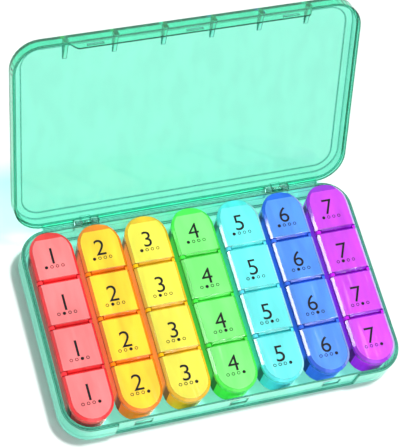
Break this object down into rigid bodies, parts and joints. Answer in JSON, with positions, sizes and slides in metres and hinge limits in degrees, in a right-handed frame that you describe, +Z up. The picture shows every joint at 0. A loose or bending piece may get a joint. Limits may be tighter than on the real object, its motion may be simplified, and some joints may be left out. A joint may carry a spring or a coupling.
{
  "type": "weekly pill organizer",
  "caption": "Hinged flat case holding a row of lift-out capsule-shaped day boxes, each with compartments under flip lids, for sorting a week's pills by day and time of day.",
  "frame": {"origin": "middle of the tray's flat underside", "axes": "+X along the row of day boxes, to the right as the case is used; +Y towards the case hinge; +Z up"},
  "size_m": [0.216, 0.2004, 0.1357],
  "materials": {
    "mint_plastic": "clear mint, polished",
    "pin_steel": "bright",
    "sun_body_plastic": "clear tinted, polished",
    "sun_lid_plastic": "clear tinted, polished",
    "mon_body_plastic": "clear tinted, polished",
    "mon_lid_plastic": "clear tinted, polished",
    "tue_body_plastic": "clear tinted, polished",
    "tue_lid_plastic": "clear tinted, polished",
    "wed_body_plastic": "clear tinted, polished",
    "wed_lid_plastic": "clear tinted, polished",
    "thu_body_plastic": "clear tinted, polished",
    "thu_lid_plastic": "clear tinted, polished",
    "fri_body_plastic": "clear tinted, polished",
    "fri_lid_plastic": "clear tinted, polished",
    "sat_body_plastic": "clear tinted, polished",
    "sat_lid_plastic": "clear tinted, polished"
  },
  "bodies": {
    "case": {"case_tray": "mint_plastic", "case_hinge_pin_left": "pin_steel", "case_hinge_pin_right": "pin_steel"},
    "cover": {"case_cover": "mint_plastic"},
    "sun_day_box": {"sun_box": "sun_body_plastic", "sun_lid_rod": "pin_steel"},
    "sun_morning_flap": {"sun_morning_lid": "sun_lid_plastic"},
    "sun_noon_flap": {"sun_noon_lid": "sun_lid_plastic"},
    "sun_night_flap": {"sun_night_lid": "sun_lid_plastic"},
    "sun_backup_flap": {"sun_backup_lid": "sun_lid_plastic"},
    "mon_day_box": {"mon_box": "mon_body_plastic", "mon_lid_rod": "pin_steel"},
    "mon_morning_flap": {"mon_morning_lid": "mon_lid_plastic"},
    "mon_noon_flap": {"mon_noon_lid": "mon_lid_plastic"},
    "mon_night_flap": {"mon_night_lid": "mon_lid_plastic"},
    "mon_backup_flap": {"mon_backup_lid": "mon_lid_plastic"},
    "tue_day_box": {"tue_box": "tue_body_plastic", "tue_lid_rod": "pin_steel"},
    "tue_morning_flap": {"tue_morning_lid": "tue_lid_plastic"},
    "tue_noon_flap": {"tue_noon_lid": "tue_lid_plastic"},
    "tue_night_flap": {"tue_night_lid": "tue_lid_plastic"},
    "tue_backup_flap": {"tue_backup_lid": "tue_lid_plastic"},
    "wed_day_box": {"wed_box": "wed_body_plastic", "wed_lid_rod": "pin_steel"},
    "wed_morning_flap": {"wed_morning_lid": "wed_lid_plastic"},
    "wed_noon_flap": {"wed_noon_lid": "wed_lid_plastic"},
    "wed_night_flap": {"wed_night_lid": "wed_lid_plastic"},
    "wed_backup_flap": {"wed_backup_lid": "wed_lid_plastic"},
    "thu_day_box": {"thu_box": "thu_body_plastic", "thu_lid_rod": "pin_steel"},
    "thu_morning_flap": {"thu_morning_lid": "thu_lid_plastic"},
    "thu_noon_flap": {"thu_noon_lid": "thu_lid_plastic"},
    "thu_night_flap": {"thu_night_lid": "thu_lid_plastic"},
    "thu_backup_flap": {"thu_backup_lid": "thu_lid_plastic"},
    "fri_day_box": {"fri_box": "fri_body_plastic", "fri_lid_rod": "pin_steel"},
    "fri_morning_flap": {"fri_morning_lid": "fri_lid_plastic"},
    "fri_noon_flap": {"fri_noon_lid": "fri_lid_plastic"},
    "fri_night_flap": {"fri_night_lid": "fri_lid_plastic"},
    "fri_backup_flap": {"fri_backup_lid": "fri_lid_plastic"},
    "sat_day_box": {"sat_box": "sat_body_plastic", "sat_lid_rod": "pin_steel"},
    "sat_morning_flap": {"sat_morning_lid": "sat_lid_plastic"},
    "sat_noon_flap": {"sat_noon_lid": "sat_lid_plastic"},
    "sat_night_flap": {"sat_night_lid": "sat_lid_plastic"},
    "sat_backup_flap": {"sat_backup_lid": "sat_lid_plastic"}
  },
  "joints": [
    {"name": "cover_hinge", "type": "hinge", "parent": "case", "child": "cover", "pos_m": [0, 0.066, 0.01665], "axis": [-1, 0, 0], "range_deg": [-118, 0]},
    {"name": "sun_box_lift", "type": "slide", "parent": "case", "child": "sun_day_box", "axis": [0, 0, 1], "range_m": [0, 0.025]},
    {"name": "sun_morning_lid_hinge", "type": "hinge", "parent": "sun_day_box", "child": "sun_morning_flap", "pos_m": [-0.10175, 0.02931, 0.02175], "axis": [0, -1, 0], "range_deg": [0, 95]},
    {"name": "sun_noon_lid_hinge", "type": "hinge", "parent": "sun_day_box", "child": "sun_noon_flap", "pos_m": [-0.10175, 0.01465, 0.02175], "axis": [0, -1, 0], "range_deg": [0, 95]},
    {"name": "sun_night_lid_hinge", "type": "hinge", "parent": "sun_day_box", "child": "sun_night_flap", "pos_m": [-0.10175, -0.01465, 0.02175], "axis": [0, -1, 0], "range_deg": [0, 95]},
    {"name": "sun_backup_lid_hinge", "type": "hinge", "parent": "sun_day_box", "child": "sun_backup_flap", "pos_m": [-0.10175, -0.02931, 0.02175], "axis": [0, -1, 0], "range_deg": [0, 95]},
    {"name": "mon_box_lift", "type": "slide", "parent": "case", "child": "mon_day_box", "axis": [0, 0, 1], "range_m": [0, 0.025]},
    {"name": "mon_morning_lid_hinge", "type": "hinge", "parent": "mon_day_box", "child": "mon_morning_flap", "pos_m": [-0.07175, 0.02931, 0.02175], "axis": [0, -1, 0], "range_deg": [0, 95]},
    {"name": "mon_noon_lid_hinge", "type": "hinge", "parent": "mon_day_box", "child": "mon_noon_flap", "pos_m": [-0.07175, 0.01465, 0.02175], "axis": [0, -1, 0], "range_deg": [0, 95]},
    {"name": "mon_night_lid_hinge", "type": "hinge", "parent": "mon_day_box", "child": "mon_night_flap", "pos_m": [-0.07175, -0.01465, 0.02175], "axis": [0, -1, 0], "range_deg": [0, 95]},
    {"name": "mon_backup_lid_hinge", "type": "hinge", "parent": "mon_day_box", "child": "mon_backup_flap", "pos_m": [-0.07175, -0.02931, 0.02175], "axis": [0, -1, 0], "range_deg": [0, 95]},
    {"name": "tue_box_lift", "type": "slide", "parent": "case", "child": "tue_day_box", "axis": [0, 0, 1], "range_m": [0, 0.025]},
    {"name": "tue_morning_lid_hinge", "type": "hinge", "parent": "tue_day_box", "child": "tue_morning_flap", "pos_m": [-0.04175, 0.02931, 0.02175], "axis": [0, -1, 0], "range_deg": [0, 95]},
    {"name": "tue_noon_lid_hinge", "type": "hinge", "parent": "tue_day_box", "child": "tue_noon_flap", "pos_m": [-0.04175, 0.01465, 0.02175], "axis": [0, -1, 0], "range_deg": [0, 95]},
    {"name": "tue_night_lid_hinge", "type": "hinge", "parent": "tue_day_box", "child": "tue_night_flap", "pos_m": [-0.04175, -0.01465, 0.02175], "axis": [0, -1, 0], "range_deg": [0, 95]},
    {"name": "tue_backup_lid_hinge", "type": "hinge", "parent": "tue_day_box", "child": "tue_backup_flap", "pos_m": [-0.04175, -0.02931, 0.02175], "axis": [0, -1, 0], "range_deg": [0, 95]},
    {"name": "wed_box_lift", "type": "slide", "parent": "case", "child": "wed_day_box", "axis": [0, 0, 1], "range_m": [0, 0.025]},
    {"name": "wed_morning_lid_hinge", "type": "hinge", "parent": "wed_day_box", "child": "wed_morning_flap", "pos_m": [-0.01175, 0.02931, 0.02175], "axis": [0, -1, 0], "range_deg": [0, 95]},
    {"name": "wed_noon_lid_hinge", "type": "hinge", "parent": "wed_day_box", "child": "wed_noon_flap", "pos_m": [-0.01175, 0.01465, 0.02175], "axis": [0, -1, 0], "range_deg": [0, 95]},
    {"name": "wed_night_lid_hinge", "type": "hinge", "parent": "wed_day_box", "child": "wed_night_flap", "pos_m": [-0.01175, -0.01465, 0.02175], "axis": [0, -1, 0], "range_deg": [0, 95]},
    {"name": "wed_backup_lid_hinge", "type": "hinge", "parent": "wed_day_box", "child": "wed_backup_flap", "pos_m": [-0.01175, -0.02931, 0.02175], "axis": [0, -1, 0], "range_deg": [0, 95]},
    {"name": "thu_box_lift", "type": "slide", "parent": "case", "child": "thu_day_box", "axis": [0, 0, 1], "range_m": [0, 0.025]},
    {"name": "thu_morning_lid_hinge", "type": "hinge", "parent": "thu_day_box", "child": "thu_morning_flap", "pos_m": [0.01825, 0.02931, 0.02175], "axis": [0, -1, 0], "range_deg": [0, 95]},
    {"name": "thu_noon_lid_hinge", "type": "hinge", "parent": "thu_day_box", "child": "thu_noon_flap", "pos_m": [0.01825, 0.01465, 0.02175], "axis": [0, -1, 0], "range_deg": [0, 95]},
    {"name": "thu_night_lid_hinge", "type": "hinge", "parent": "thu_day_box", "child": "thu_night_flap", "pos_m": [0.01825, -0.01465, 0.02175], "axis": [0, -1, 0], "range_deg": [0, 95]},
    {"name": "thu_backup_lid_hinge", "type": "hinge", "parent": "thu_day_box", "child": "thu_backup_flap", "pos_m": [0.01825, -0.02931, 0.02175], "axis": [0, -1, 0], "range_deg": [0, 95]},
    {"name": "fri_box_lift", "type": "slide", "parent": "case", "child": "fri_day_box", "axis": [0, 0, 1], "range_m": [0, 0.025]},
    {"name": "fri_morning_lid_hinge", "type": "hinge", "parent": "fri_day_box", "child": "fri_morning_flap", "pos_m": [0.04825, 0.02931, 0.02175], "axis": [0, -1, 0], "range_deg": [0, 95]},
    {"name": "fri_noon_lid_hinge", "type": "hinge", "parent": "fri_day_box", "child": "fri_noon_flap", "pos_m": [0.04825, 0.01465, 0.02175], "axis": [0, -1, 0], "range_deg": [0, 95]},
    {"name": "fri_night_lid_hinge", "type": "hinge", "parent": "fri_day_box", "child": "fri_night_flap", "pos_m": [0.04825, -0.01465, 0.02175], "axis": [0, -1, 0], "range_deg": [0, 95]},
    {"name": "fri_backup_lid_hinge", "type": "hinge", "parent": "fri_day_box", "child": "fri_backup_flap", "pos_m": [0.04825, -0.02931, 0.02175], "axis": [0, -1, 0], "range_deg": [0, 95]},
    {"name": "sat_box_lift", "type": "slide", "parent": "case", "child": "sat_day_box", "axis": [0, 0, 1], "range_m": [0, 0.025]},
    {"name": "sat_morning_lid_hinge", "type": "hinge", "parent": "sat_day_box", "child": "sat_morning_flap", "pos_m": [0.07825, 0.02931, 0.02175], "axis": [0, -1, 0], "range_deg": [0, 95]},
    {"name": "sat_noon_lid_hinge", "type": "hinge", "parent": "sat_day_box", "child": "sat_noon_flap", "pos_m": [0.07825, 0.01465, 0.02175], "axis": [0, -1, 0], "range_deg": [0, 95]},
    {"name": "sat_night_lid_hinge", "type": "hinge", "parent": "sat_day_box", "child": "sat_night_flap", "pos_m": [0.07825, -0.01465, 0.02175], "axis": [0, -1, 0], "range_deg": [0, 95]},
    {"name": "sat_backup_lid_hinge", "type": "hinge", "parent": "sat_day_box", "child": "sat_backup_flap", "pos_m": [0.07825, -0.02931, 0.02175], "axis": [0, -1, 0], "range_deg": [0, 95]}
  ]
}
